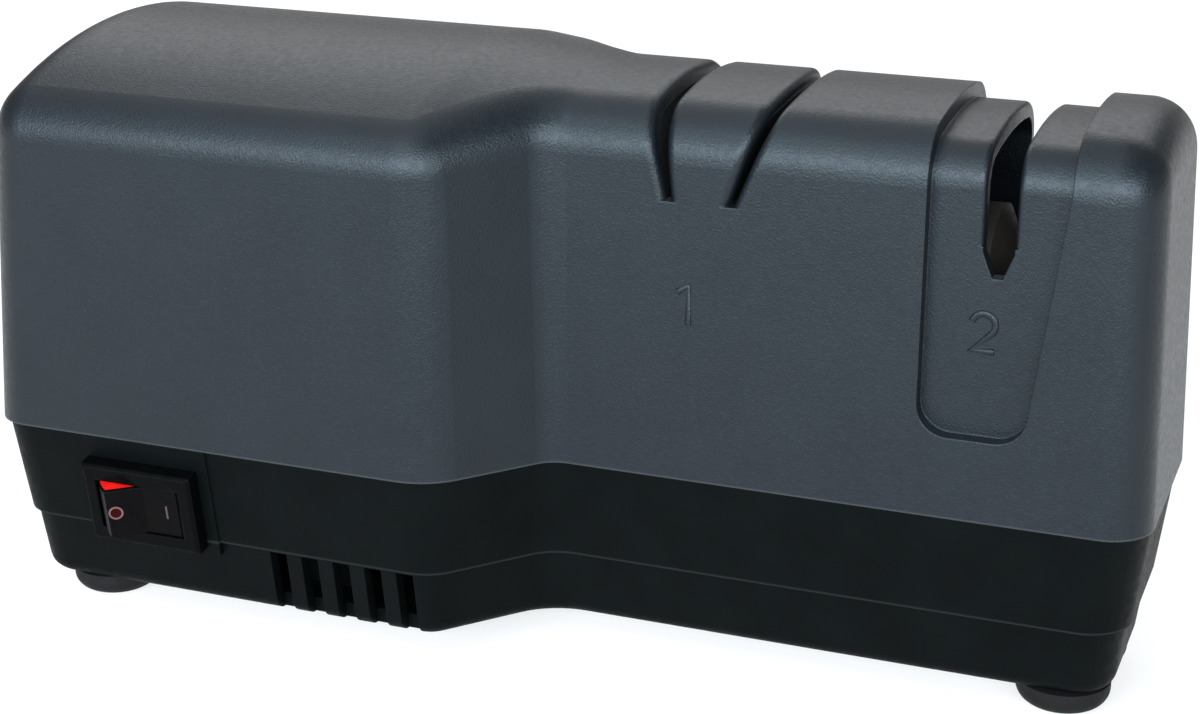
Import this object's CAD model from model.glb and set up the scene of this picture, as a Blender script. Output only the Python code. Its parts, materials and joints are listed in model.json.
import json
import math

import bmesh
import bpy
from mathutils import Matrix, Vector


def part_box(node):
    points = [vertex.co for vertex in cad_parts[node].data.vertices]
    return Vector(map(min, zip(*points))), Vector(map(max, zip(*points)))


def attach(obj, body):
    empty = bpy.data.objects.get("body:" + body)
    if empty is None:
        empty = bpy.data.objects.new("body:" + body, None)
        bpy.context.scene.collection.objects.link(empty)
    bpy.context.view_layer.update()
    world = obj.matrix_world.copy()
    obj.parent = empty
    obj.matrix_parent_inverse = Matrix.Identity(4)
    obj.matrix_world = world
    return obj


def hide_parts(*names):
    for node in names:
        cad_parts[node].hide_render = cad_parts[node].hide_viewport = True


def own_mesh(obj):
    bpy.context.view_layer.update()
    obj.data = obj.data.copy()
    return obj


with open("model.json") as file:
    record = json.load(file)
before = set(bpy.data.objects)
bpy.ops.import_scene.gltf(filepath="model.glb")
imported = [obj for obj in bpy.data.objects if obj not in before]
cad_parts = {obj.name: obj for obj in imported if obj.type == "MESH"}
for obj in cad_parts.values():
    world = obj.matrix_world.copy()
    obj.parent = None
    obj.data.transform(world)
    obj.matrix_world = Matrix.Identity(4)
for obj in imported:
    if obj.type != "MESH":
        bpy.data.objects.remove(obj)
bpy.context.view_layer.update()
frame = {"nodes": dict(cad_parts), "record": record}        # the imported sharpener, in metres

mm = 0.001
edgeSamples = 6          # rays that round an edge in a material
sheenScale = 3           # the sheen varies over this many grains
scene = bpy.context.scene
print("frame loaded,", len(frame["nodes"]), "nodes")


def newMaterial(name):
    # an empty material with its output, its shader and object coordinates
    material = bpy.data.materials.new(name)
    material.use_nodes = True
    tree = material.node_tree
    tree.nodes.clear()
    output = tree.nodes.new("ShaderNodeOutputMaterial")
    shader = tree.nodes.new("ShaderNodeBsdfPrincipled")
    coords = tree.nodes.new("ShaderNodeTexCoord")
    tree.links.new(shader.outputs["BSDF"], output.inputs["Surface"])
    return material, tree, shader, coords.outputs["Object"]


def noiseOf(tree, coords, size, detail=2.0, stretch=(1, 1, 1)):
    # noise with features of the given size in metres
    mapping = tree.nodes.new("ShaderNodeMapping")
    mapping.inputs["Scale"].default_value = [s / size for s in stretch]
    noise = tree.nodes.new("ShaderNodeTexNoise")
    noise.inputs["Scale"].default_value = 1.0
    noise.inputs["Detail"].default_value = detail
    tree.links.new(coords, mapping.inputs["Vector"])
    tree.links.new(mapping.outputs["Vector"], noise.inputs["Vector"])
    return noise.outputs["Fac"]


def spread(tree, value, low, high, fromLow=0.3, fromHigh=0.7):
    # maps a noise value onto a range
    node = tree.nodes.new("ShaderNodeMapRange")
    node.inputs["From Min"].default_value = fromLow
    node.inputs["From Max"].default_value = fromHigh
    node.inputs["To Min"].default_value = low
    node.inputs["To Max"].default_value = high
    tree.links.new(value, node.inputs["Value"])
    return node.outputs["Result"]


def mixColours(tree, value, first, second):
    # blends two colours by a value from 0 to 1
    node = tree.nodes.new("ShaderNodeMix")
    node.data_type = "RGBA"
    node.inputs["A"].default_value = (*first, 1)
    node.inputs["B"].default_value = (*second, 1)
    tree.links.new(value, node.inputs["Factor"])
    return node.outputs["Result"]


def paintedOver(tree, under, value, colour):
    # lays one more colour over another where the value is 1
    node = tree.nodes.new("ShaderNodeMix")
    node.data_type = "RGBA"
    node.inputs["B"].default_value = (*colour, 1)
    tree.links.new(under, node.inputs["A"])
    tree.links.new(value, node.inputs["Factor"])
    return node.outputs["Result"]


def bumpFrom(tree, shader, height, depth, strength, edgeRadius=0.0):
    # surface grain, over edges that look slightly rounded
    bump = tree.nodes.new("ShaderNodeBump")
    bump.inputs["Strength"].default_value = strength
    bump.inputs["Distance"].default_value = depth
    tree.links.new(height, bump.inputs["Height"])
    if edgeRadius:
        soft = tree.nodes.new("ShaderNodeBevel")
        soft.samples = edgeSamples
        soft.inputs["Radius"].default_value = edgeRadius
        tree.links.new(soft.outputs["Normal"], bump.inputs["Normal"])
    tree.links.new(bump.outputs["Normal"], shader.inputs["Normal"])


def levelLine(tree, coords, height, halfWidth):
    # 1 on a level line round the part, falling to 0 at its half width
    parts = tree.nodes.new("ShaderNodeSeparateXYZ")
    tree.links.new(coords, parts.inputs["Vector"])
    away = tree.nodes.new("ShaderNodeMath")
    away.operation = "SUBTRACT"
    away.inputs[1].default_value = height
    tree.links.new(parts.outputs["Z"], away.inputs[0])
    size = tree.nodes.new("ShaderNodeMath")
    size.operation = "ABSOLUTE"
    tree.links.new(away.outputs["Value"], size.inputs[0])
    return spread(tree, size.outputs["Value"], 1, 0, 0, halfWidth)


def mouldedPlastic(name, look):
    # spark-textured plastic: fine grain, faint mottling and a slightly uneven sheen
    material, tree, shader, coords = newMaterial(name)
    mottle = spread(tree, noiseOf(tree, coords, look["mottleSize"]), 0, 1)
    colour = mixColours(tree, mottle, look["colour"], look["second"])
    for height, halfWidth, lineColour in look.get("rubbedLines", []):
        line = levelLine(tree, coords, height, halfWidth)
        colour = paintedOver(tree, colour, line, lineColour)
    tree.links.new(colour, shader.inputs["Base Color"])
    sheen = noiseOf(tree, coords, look["grainSize"] * sheenScale)
    tree.links.new(spread(tree, sheen, look["smooth"], look["rough"]), shader.inputs["Roughness"])
    shader.inputs["Specular IOR Level"].default_value = look["specular"]
    shader.inputs["Specular Tint"].default_value = (*look.get("tint", (1, 1, 1)), 1)
    grain = noiseOf(tree, coords, look["grainSize"], detail=3.0)
    bumpFrom(tree, shader, grain, look["grainDepth"], look["grainStrength"], look.get("edge", 0.0))
    return material


def metal(name, look):
    # bare metal with fine lines along one direction
    material, tree, shader, coords = newMaterial(name)
    lines = noiseOf(tree, coords, look["lineSize"], stretch=look["stretch"])
    tree.links.new(mixColours(tree, spread(tree, lines, 0, 1), look["colour"], look["second"]),
                   shader.inputs["Base Color"])
    tree.links.new(spread(tree, lines, look["smooth"], look["rough"]), shader.inputs["Roughness"])
    shader.inputs["Metallic"].default_value = 1.0
    bumpFrom(tree, shader, lines, look["lineDepth"], look["lineStrength"])
    return material


coverLook = {"colour": (0.0040, 0.0054, 0.0074), "second": (0.0053, 0.0069, 0.0091), "mottleSize": 0.012,
             "smooth": 0.34, "rough": 0.44, "specular": 0.335, "tint": (0.84, 0.94, 1.0), "grainSize": 0.00034,
             "grainDepth": 0.00008, "grainStrength": 0.9, "edge": 0.0004,
             "rubbedLines": [(0.0351, 0.0003, (0.030, 0.033, 0.036))]}
baseLook = {"colour": (0.0012, 0.0019, 0.0020), "second": (0.0019, 0.0028, 0.0029), "mottleSize": 0.010,
            "smooth": 0.42, "rough": 0.58, "specular": 0.046, "grainSize": 0.0005,
            "grainDepth": 0.00006, "grainStrength": 0.5, "edge": 0.0003,
            "rubbedLines": [(0.0171, 0.0004, (0.012, 0.015, 0.016))]}
switchLook = {"colour": (0.0010, 0.0012, 0.0013), "second": (0.0014, 0.0017, 0.0018), "mottleSize": 0.004,
              "smooth": 0.22, "rough": 0.32, "specular": 0.038, "grainSize": 0.0003,
              "grainDepth": 0.00002, "grainStrength": 0.2, "edge": 0.0005}
rockerLook = dict(switchLook, colour=(0.0018, 0.0016, 0.0018), second=(0.0024, 0.0020, 0.0022), smooth=0.30,
                  rough=0.40, specular=0.038, edge=0.00035)
redLook = {"colour": (0.75, 0.012, 0.008), "second": (0.62, 0.008, 0.006), "mottleSize": 0.003,
           "smooth": 0.16, "rough": 0.24, "specular": 0.5, "grainSize": 0.0004,
           "grainDepth": 0.00001, "grainStrength": 0.2}
rubberLook = {"colour": (0.0045, 0.0045, 0.0048), "second": (0.0065, 0.0065, 0.0068), "mottleSize": 0.003,
              "smooth": 0.55, "rough": 0.75, "specular": 0.15, "grainSize": 0.0004,
              "grainDepth": 0.00005, "grainStrength": 0.6}
guideLook = dict(baseLook, colour=(0.014, 0.015, 0.016), second=(0.019, 0.020, 0.021))
nylonLook = {"colour": (0.66, 0.63, 0.55), "second": (0.72, 0.69, 0.61), "mottleSize": 0.006,
             "smooth": 0.35, "rough": 0.5, "specular": 0.5, "grainSize": 0.0005,
             "grainDepth": 0.00003, "grainStrength": 0.3}
fibreLook = dict(nylonLook, colour=(0.26, 0.13, 0.06), second=(0.34, 0.18, 0.09), smooth=0.6, rough=0.8)
honeLook = dict(nylonLook, colour=(0.016, 0.013, 0.011), second=(0.026, 0.020, 0.016), smooth=0.55, rough=0.75,
                grainSize=0.0003, grainDepth=0.00006, grainStrength=0.6)
markLook = dict(rubberLook, colour=(0.100, 0.052, 0.050), second=(0.130, 0.066, 0.064), smooth=0.4, rough=0.5)
barLook = dict(markLook, colour=(0.055, 0.036, 0.031), second=(0.072, 0.047, 0.040))
spotLook = dict(rubberLook, colour=(0.016, 0.0008, 0.001), second=(0.024, 0.001, 0.0012), smooth=0.3, rough=0.4,
                specular=0.05)

steelLook = {"colour": (0.55, 0.55, 0.56), "second": (0.44, 0.44, 0.45), "lineSize": 0.0002,
             "stretch": (0.05, 1, 1), "smooth": 0.2, "rough": 0.36, "lineDepth": 0.00001,
             "lineStrength": 0.4}
sheetLook = dict(steelLook, colour=(0.19, 0.19, 0.20), second=(0.13, 0.13, 0.135), lineSize=0.0005,
                 stretch=(1, 0.02, 0.02), smooth=0.42, rough=0.6, lineDepth=0.00008)
castLook = dict(steelLook, colour=(0.50, 0.50, 0.51), second=(0.43, 0.43, 0.44), lineSize=0.0008,
                stretch=(1, 1, 1), smooth=0.45, rough=0.6)
bronzeLook = dict(steelLook, colour=(0.42, 0.25, 0.11), second=(0.34, 0.20, 0.09), lineSize=0.0003,
                  stretch=(1, 1, 1), smooth=0.4, rough=0.55)
brassLook = dict(bronzeLook, colour=(0.62, 0.46, 0.18), second=(0.55, 0.40, 0.15), smooth=0.25, rough=0.4)
copperLook = dict(bronzeLook, colour=(0.50, 0.17, 0.06), second=(0.40, 0.12, 0.045), smooth=0.22, rough=0.35)
magnetLook = dict(castLook, colour=(0.10, 0.10, 0.11), second=(0.07, 0.07, 0.075))
gritLook = dict(castLook, colour=(0.30, 0.30, 0.31), second=(0.16, 0.16, 0.165), lineSize=0.00018,
                smooth=0.4, rough=0.7, lineDepth=0.00008)

slotMaterials = {
    "cover_grey": mouldedPlastic("coverGrey", coverLook),
    "base_black": mouldedPlastic("baseBlack", baseLook),
    "switch_black": mouldedPlastic("switchBlack", switchLook),
    "rocker_black": mouldedPlastic("rockerBlack", rockerLook),
    "rocker_red": mouldedPlastic("rockerRed", redLook),
    "foot_rubber": mouldedPlastic("footRubber", rubberLook),
    "gland_rubber": mouldedPlastic("glandRubber", rubberLook),
    "guide_plastic": mouldedPlastic("guidePlastic", guideLook),
    "nylon": mouldedPlastic("nylon", nylonLook),
    "fibre": mouldedPlastic("pressedFibre", fibreLook),
    "hone_compound": mouldedPlastic("honeCompound", honeLook),
    "screw_steel": metal("screwSteel", steelLook),
    "shaft_steel": metal("shaftSteel", steelLook),
    "spring_steel": metal("springSteel", steelLook),
    "laminations": metal("laminations", sheetLook),
    "rotor_iron": metal("rotorIron", sheetLook),
    "cast_alloy": metal("castAlloy", castLook),
    "bronze": metal("bronze", bronzeLook),
    "brass": metal("brass", brassLook),
    "copper": metal("copperWire", copperLook),
    "magnet": metal("magnet", magnetLook),
    "abrasive": metal("abrasiveGrit", gritLook),
}
slotOf = {part["node"]: part["material_slot"] for part in frame["record"]["subparts"]}
for nodeName, nodeObject in frame["nodes"].items():
    for materialSlot in nodeObject.material_slots:
        materialSlot.material = slotMaterials[slotOf[nodeName]]
print("materials assigned")


def newTree(name, sizes):
    # a Geometry Nodes tree with named inputs and a material
    tree = bpy.data.node_groups.new(name, "GeometryNodeTree")
    tree.interface.new_socket("Path", in_out="INPUT", socket_type="NodeSocketGeometry")
    for label, kind in sizes:
        tree.interface.new_socket(label, in_out="INPUT", socket_type=kind)
    tree.interface.new_socket("Finish", in_out="INPUT", socket_type="NodeSocketMaterial")
    tree.interface.new_socket("Geometry", in_out="OUTPUT", socket_type="NodeSocketGeometry")
    return tree, tree.nodes.new("NodeGroupInput"), tree.nodes.new("NodeGroupOutput")


def roundWire(tree, inputs, sides):
    # a round wire of the given radius that follows the path
    profile = tree.nodes.new("GeometryNodeCurvePrimitiveCircle")
    profile.inputs["Resolution"].default_value = sides
    wire = tree.nodes.new("GeometryNodeCurveToMesh")
    wire.inputs["Fill Caps"].default_value = True
    tree.links.new(inputs.outputs["Wire Radius"], profile.inputs["Radius"])
    tree.links.new(inputs.outputs["Path"], wire.inputs["Curve"])
    tree.links.new(profile.outputs["Curve"], wire.inputs["Profile Curve"])
    return wire.outputs["Mesh"]


def finishTree(tree, inputs, outputs, shape):
    # real geometry with its material, smooth-shaded
    real = tree.nodes.new("GeometryNodeRealizeInstances")
    smooth = tree.nodes.new("GeometryNodeSetShadeSmooth")
    paint = tree.nodes.new("GeometryNodeSetMaterial")
    tree.links.new(shape, real.inputs["Geometry"])
    tree.links.new(real.outputs["Geometry"], smooth.inputs["Geometry"])
    tree.links.new(smooth.outputs["Geometry"], paint.inputs["Geometry"])
    tree.links.new(inputs.outputs["Finish"], paint.inputs["Material"])
    tree.links.new(paint.outputs["Geometry"], outputs.inputs["Geometry"])


def raisedLineTree(sides):
    # a bead along a line in the XZ plane, pressed flat towards that plane
    tree, inputs, outputs = newTree("raisedLine", [("Wire Radius", "NodeSocketFloat"),
                                                   ("Flatness", "NodeSocketFloat")])
    bead = roundWire(tree, inputs, sides)
    scale = tree.nodes.new("ShaderNodeCombineXYZ")
    scale.inputs["X"].default_value = 1
    scale.inputs["Z"].default_value = 1
    press = tree.nodes.new("GeometryNodeTransform")
    tree.links.new(inputs.outputs["Flatness"], scale.inputs["Y"])
    tree.links.new(scale.outputs["Vector"], press.inputs["Scale"])
    tree.links.new(bead, press.inputs["Geometry"])
    finishTree(tree, inputs, outputs, press.outputs["Geometry"])
    return tree


def stackedTurnsTree(sides):
    # one loop of wire repeated along Y, side by side
    tree, inputs, outputs = newTree("stackedTurns", [("Wire Radius", "NodeSocketFloat"),
                                                     ("Turns", "NodeSocketInt"), ("Pitch", "NodeSocketFloat")])
    loop = roundWire(tree, inputs, sides)
    step = tree.nodes.new("ShaderNodeCombineXYZ")
    row = tree.nodes.new("GeometryNodeMeshLine")
    copies = tree.nodes.new("GeometryNodeInstanceOnPoints")
    tree.links.new(inputs.outputs["Pitch"], step.inputs["Y"])
    tree.links.new(inputs.outputs["Turns"], row.inputs["Count"])
    tree.links.new(step.outputs["Vector"], row.inputs["Offset"])
    tree.links.new(row.outputs["Mesh"], copies.inputs["Points"])
    tree.links.new(loop, copies.inputs["Instance"])
    finishTree(tree, inputs, outputs, copies.outputs["Instances"])
    return tree


def lineCurve(name, lines, closed=False):
    # a curve object's data from lists of points in the XZ plane
    curve = bpy.data.curves.new(name, "CURVE")
    curve.dimensions = "3D"
    for points in lines:
        spline = curve.splines.new("POLY")
        spline.points.add(len(points) - 1)
        for point, (x, z) in zip(spline.points, points):
            point.co = (x, 0, z, 1)
        spline.use_cyclic_u = closed
    return curve


def grown(name, curve, tree, values):
    # runs a tree on a curve and keeps the result as a plain mesh
    maker = bpy.data.objects.new(name + "Maker", curve)
    scene.collection.objects.link(maker)
    modifier = maker.modifiers.new("shape", "NODES")
    modifier.node_group = tree
    for item in tree.interface.items_tree:
        if item.name in values:
            modifier[item.identifier] = values[item.name]
    mesh = bpy.data.meshes.new_from_object(maker.evaluated_get(bpy.context.evaluated_depsgraph_get()))
    maker.modifiers.remove(modifier)
    bpy.data.objects.remove(maker)
    mesh.name = name
    return mesh


def addPiece(name, mesh, body):
    piece = bpy.data.objects.new(name, mesh)
    scene.collection.objects.link(piece)
    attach(piece, body)
    return piece


def setOn(mesh, point, across, outward):
    # moves a drawing from the XZ plane, where it faces -Y, onto a surface
    up = outward.cross(across)
    turn = Matrix((across, -outward, up)).transposed().to_4x4()
    mesh.transform(Matrix.Translation(point) @ turn)


def surfaceAt(nodeName, start, direction):
    # where a ray first meets a CAD node
    found, point, normal = frame["nodes"][nodeName].ray_cast(start, direction)[:3]
    if not found:
        raise RuntimeError("no surface under " + nodeName)
    return point, normal


def arc(centreX, centreZ, radius, first, last, steps):
    # points along an arc, with its angles in degrees
    angles = [math.radians(first + (last - first) * i / steps) for i in range(steps + 1)]
    return [(centreX + radius * math.cos(a), centreZ + radius * math.sin(a)) for a in angles]


# the stage numbers stand slightly proud of the cover
stageNumbers = {"strokeRadius": 0.56 * mm, "flatness": 0.45, "beadSides": 12, "fromY": -80 * mm,
                "one": {"x": 24.2 * mm, "z": 64.8 * mm, "height": 6.4 * mm, "flag": 1.9 * mm, "flagDrop": 0.62},
                "two": {"x": 70.75 * mm, "z": 65.2 * mm, "height": 6.0 * mm, "width": 3.7 * mm,
                        "hookStart": 165, "hookEnd": -38, "hookSteps": 14}}
raisedLine = raisedLineTree(stageNumbers["beadSides"])
bpy.context.view_layer.update()


def makeStageNumbers():
    one = stageNumbers["one"]
    two = stageNumbers["two"]
    half = one["height"] / 2
    oneLines = [[(-one["flag"], half - one["flagDrop"] * one["flag"]), (0, half), (0, -half)]]
    bow = two["width"] / 2
    top = two["height"] / 2
    hook = arc(0, top - bow, bow, two["hookStart"], two["hookEnd"], two["hookSteps"])
    twoLines = [hook + [(-bow, -top), (bow, -top)]]
    for name, lines, place in (("numberOne", oneLines, one), ("numberTwo", twoLines, two)):
        mesh = grown(name, lineCurve(name, lines), raisedLine,
                     {"Wire Radius": stageNumbers["strokeRadius"], "Flatness": stageNumbers["flatness"],
                      "Finish": slotMaterials["cover_grey"]})
        start = Vector((place["x"], stageNumbers["fromY"], place["z"]))
        point, normal = surfaceAt("top_cover", start, Vector((0, 1, 0)))
        setOn(mesh, point, Vector((1, 0, 0)), normal)
        addPiece(name, mesh, "housing")


# the off ring and on bar are printed on the rocker's two faces
rockerMarks = {"pivot": Vector((-68.0, -35.82427, 23.61947)) * mm, "lean": 9.0, "restTilt": 15.0, "faceAngle": 15.0,
               "apexHeight": 4.0 * mm, "strokeRadius": 0.19 * mm, "flatness": 0.25, "searchFrom": 4 * mm,
               "ring": {"fromApex": 5.01 * mm, "up": 0.14 * mm, "radius": 1.08 * mm, "points": 24},
               "bar": {"fromApex": 4.15 * mm, "up": 0.15 * mm, "length": 2.5 * mm},
               "spotThickness": 0.06 * mm}


def placeOnRocker(mesh, side, place):
    # the rocker's faces rise from the apex on both sides, and the whole rocker rests tilted
    marks = rockerMarks
    lean = math.radians(marks["lean"])
    upward = Vector((0, -math.sin(lean), math.cos(lean)))
    outward = Vector((0, -math.cos(lean), -math.sin(lean)))
    rise = math.radians(marks["faceAngle"] - side * marks["restTilt"])
    along = Vector((1, 0, 0)) * math.cos(rise) + outward * math.sin(rise) * side
    tilt = math.radians(marks["restTilt"])
    toApex = Vector((1, 0, 0)) * math.sin(tilt) + outward * math.cos(tilt)
    apex = marks["pivot"] + toApex * marks["apexHeight"]
    normal = upward.cross(along).normalized()
    if normal.dot(outward) < 0:
        normal = -normal
    guess = apex + along * side * place["fromApex"] + upward * place["up"]
    point = surfaceAt("rocker_face", guess + normal * marks["searchFrom"], -normal)[0]
    setOn(mesh, point, along, normal)


def markRing():
    # the off ring's points, without the last one that would close it
    ring = rockerMarks["ring"]
    step = 360 / ring["points"]
    return arc(0, 0, ring["radius"], 0, 360 - step, ring["points"] - 1)


def makeRockerMarks():
    marks = rockerMarks
    ring, bar = marks["ring"], marks["bar"]
    stroke = [(0, -bar["length"] / 2), (0, bar["length"] / 2)]
    for name, side, place, lines, closed, finish in (("offRing", -1, ring, [markRing()], True, markFinish),
                                                     ("onBar", 1, bar, [stroke], False, barFinish)):
        mesh = grown(name, lineCurve(name, lines, closed), raisedLine,
                     {"Wire Radius": marks["strokeRadius"], "Flatness": marks["flatness"], "Finish": finish})
        placeOnRocker(mesh, side, place)
        addPiece(name, mesh, "rocker")


def makeOffSpot():
    # the dim red spot inside the off ring, a thin closed disk
    half = rockerMarks["spotThickness"] / 2
    spot = bmesh.new()
    rim = [spot.verts.new((x, -half, z)) for x, z in markRing()]
    back = [spot.verts.new((v.co.x, half, v.co.z)) for v in rim]
    spot.faces.new(rim)
    spot.faces.new(list(reversed(back)))
    for i in range(len(rim)):
        j = (i + 1) % len(rim)
        spot.faces.new((rim[j], rim[i], back[i], back[j]))
    bmesh.ops.recalc_face_normals(spot, faces=spot.faces)
    mesh = bpy.data.meshes.new("offSpot")
    spot.to_mesh(mesh)
    spot.free()
    mesh.materials.append(spotFinish)
    placeOnRocker(mesh, -1, rockerMarks["ring"])
    addPiece("offSpot", mesh, "rocker")


# the coil's outer turns of enamelled wire, in place of the plain winding
windingLook = {"wireRadius": 0.36 * mm, "turns": 40, "cornerRadius": 4.0 * mm, "cornerSteps": 5, "wireSides": 8,
               "packing": 1.06}  # how much thicker the wire is drawn, so that no gap shows between turns


def makeWinding():
    low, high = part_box("coil_winding")
    inset = windingLook["wireRadius"]
    corner = windingLook["cornerRadius"]
    left, right = low[0] + inset + corner, high[0] - inset - corner
    bottom, top = low[2] + inset + corner, high[2] - inset - corner
    loop = []
    for x, z, first in ((right, top, 0), (left, top, 90), (left, bottom, 180), (right, bottom, 270)):
        loop += arc(x, z, corner, first, first + 90, windingLook["cornerSteps"])
    pitch = (high[1] - low[1] - 2 * inset) / (windingLook["turns"] - 1)
    mesh = grown("windingTurns", lineCurve("windingTurns", [loop], True),
                 stackedTurnsTree(windingLook["wireSides"]),
                 {"Wire Radius": windingLook["wireRadius"] * windingLook["packing"],
                  "Turns": windingLook["turns"], "Pitch": pitch, "Finish": slotMaterials["copper"]})
    mesh.transform(Matrix.Translation((0, low[1] + inset, 0)))
    piece = addPiece("windingTurns", mesh, "housing")
    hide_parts("coil_winding")


# the disks' spring in two halves, each of which closes up as its own disk slides in
springHalves = {"middle": 25.5 * mm, "axisHeight": 68.5 * mm, "keep": 0.51, "mergeDistance": 0.0001 * mm}


def makeSpringHalves():
    middle = springHalves["middle"]
    merge = springHalves["mergeDistance"]
    for name, side, joint in (("springLeftHalf", -1, "disk_left_slide"),
                              ("springRightHalf", 1, "disk_right_slide")):
        wire = bmesh.new()
        wire.from_mesh(frame["nodes"]["disk_spring"].data)
        bmesh.ops.remove_doubles(wire, verts=wire.verts, dist=merge)
        bmesh.ops.bisect_plane(wire, geom=wire.verts[:] + wire.edges[:] + wire.faces[:], dist=merge,
                               plane_co=(middle, 0, 0), plane_no=(side, 0, 0), clear_inner=True)
        bmesh.ops.holes_fill(wire, edges=[edge for edge in wire.edges if edge.is_boundary], sides=0)
        mesh = bpy.data.meshes.new(name)
        wire.to_mesh(mesh)
        wire.free()
        mesh.materials.clear()
        mesh.materials.append(slotMaterials["spring_steel"])
        piece = addPiece(name, mesh, "drive")
        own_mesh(piece)
        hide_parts("disk_spring")


markFinish = mouldedPlastic("markPrint", markLook)
barFinish = mouldedPlastic("barPrint", barLook)
spotFinish = mouldedPlastic("markSpot", spotLook)
makeStageNumbers()
makeRockerMarks()
makeOffSpot()
makeWinding()
makeSpringHalves()
print("numbers, marks, winding and spring made")


# a pale glowing floor and soft lights; the long front strip makes the band along the cover's top edge
stageLook = {"floorHalf": 6.0, "floorColour": (0.32, 0.32, 0.32), "floorGlow": 0.70, "farGlow": 1.05,
             "glowNear": 0.45, "glowFar": 1.0, "toneSize": 0.4,
             "toneStep": 1.01, "floorRough": 0.9, "floorSpecular": 0.1, "world": 0.22}
lights = {
    "overhead": {"place": (-0.20, -0.10, 1.00), "aim": (0, 0, 0.06), "size": (1.2, 0.9), "power": 4.2,
                 "colour": (0.92, 0.97, 1.0)},
    "back": {"place": (-0.24, 0.95, 0.79), "aim": (0, 0, 0.06), "size": (1.4, 0.6), "power": 6.2,
             "colour": (1, 1, 1)},
    "frontUpper": {"place": (-0.27, -0.75, 0.95), "aim": (0, 0, 0.07), "size": (0.8, 0.5), "power": 4.5,
                   "colour": (0.80, 0.92, 1.0)},
    "frontStrip": {"place": (0.20, -1.06, 0.45), "aim": (0, 0, 0.07), "size": (2.3, 0.36), "power": 46.0,
                   "colour": (0.80, 0.91, 0.985)},
}
cameraLook = {"place": (0.13820, -0.35199, 0.18547), "yaw": 21.31, "pitch": 20.29, "roll": -0.34,
              "focalPixels": 2340.5, "imageWidth": 1200, "sensor": 36.0, "clipStart": 0.01, "clipEnd": 20}


def makeStage():
    half = stageLook["floorHalf"]
    mesh = bpy.data.meshes.new("floor")
    mesh.from_pydata([(-half, -half, 0), (half, -half, 0), (half, half, 0), (-half, half, 0)], [], [(0, 1, 2, 3)])
    floor = bpy.data.objects.new("floor", mesh)
    scene.collection.objects.link(floor)
    material, tree, shader, coords = newMaterial("floorPaper")
    tone = spread(tree, noiseOf(tree, coords, stageLook["toneSize"]), 0, 1)
    colour = stageLook["floorColour"]
    second = [c * stageLook["toneStep"] for c in colour]
    tree.links.new(mixColours(tree, tone, colour, second), shader.inputs["Base Color"])
    shader.inputs["Emission Color"].default_value = (1, 1, 1, 1)
    reach = tree.nodes.new("ShaderNodeVectorMath")
    reach.operation = "LENGTH"
    tree.links.new(coords, reach.inputs[0])
    glow = spread(tree, reach.outputs["Value"], stageLook["floorGlow"], stageLook["farGlow"],
                  stageLook["glowNear"], stageLook["glowFar"])
    tree.links.new(glow, shader.inputs["Emission Strength"])
    shader.inputs["Roughness"].default_value = stageLook["floorRough"]
    shader.inputs["Specular IOR Level"].default_value = stageLook["floorSpecular"]
    mesh.materials.append(material)


def makeWorld():
    world = bpy.data.worlds.new("studio")
    scene.world = world
    world.use_nodes = True
    background = world.node_tree.nodes["Background"]
    background.inputs["Color"].default_value = (1, 1, 1, 1)
    background.inputs["Strength"].default_value = stageLook["world"]


def makeLight(name, setting):
    data = bpy.data.lights.new(name, "AREA")
    data.shape = "RECTANGLE"
    data.size, data.size_y = setting["size"]
    data.energy = setting["power"]
    data.color = setting["colour"]
    lamp = bpy.data.objects.new(name, data)
    scene.collection.objects.link(lamp)
    lamp.location = setting["place"]
    lamp.visible_camera = False
    direction = Vector(setting["aim"]) - Vector(setting["place"])
    lamp.rotation_euler = direction.to_track_quat("-Z", "Y").to_euler()


def makeCamera():
    data = bpy.data.cameras.new("camera")
    data.sensor_width = cameraLook["sensor"]
    data.lens = cameraLook["focalPixels"] * cameraLook["sensor"] / cameraLook["imageWidth"]
    data.clip_start = cameraLook["clipStart"]
    data.clip_end = cameraLook["clipEnd"]
    camera = bpy.data.objects.new("camera", data)
    scene.collection.objects.link(camera)
    turn = Matrix.Rotation(math.radians(cameraLook["yaw"]), 4, "Z")
    tilt = Matrix.Rotation(math.radians(90 - cameraLook["pitch"]), 4, "X")
    roll = Matrix.Rotation(math.radians(cameraLook["roll"]), 4, "Z")
    camera.matrix_world = Matrix.Translation(cameraLook["place"]) @ turn @ tilt @ roll
    scene.camera = camera


makeStage()
makeWorld()
for lightName, lightSetting in lights.items():
    makeLight(lightName, lightSetting)
makeCamera()
scene.view_settings.view_transform = "Standard"
print("stage ready")
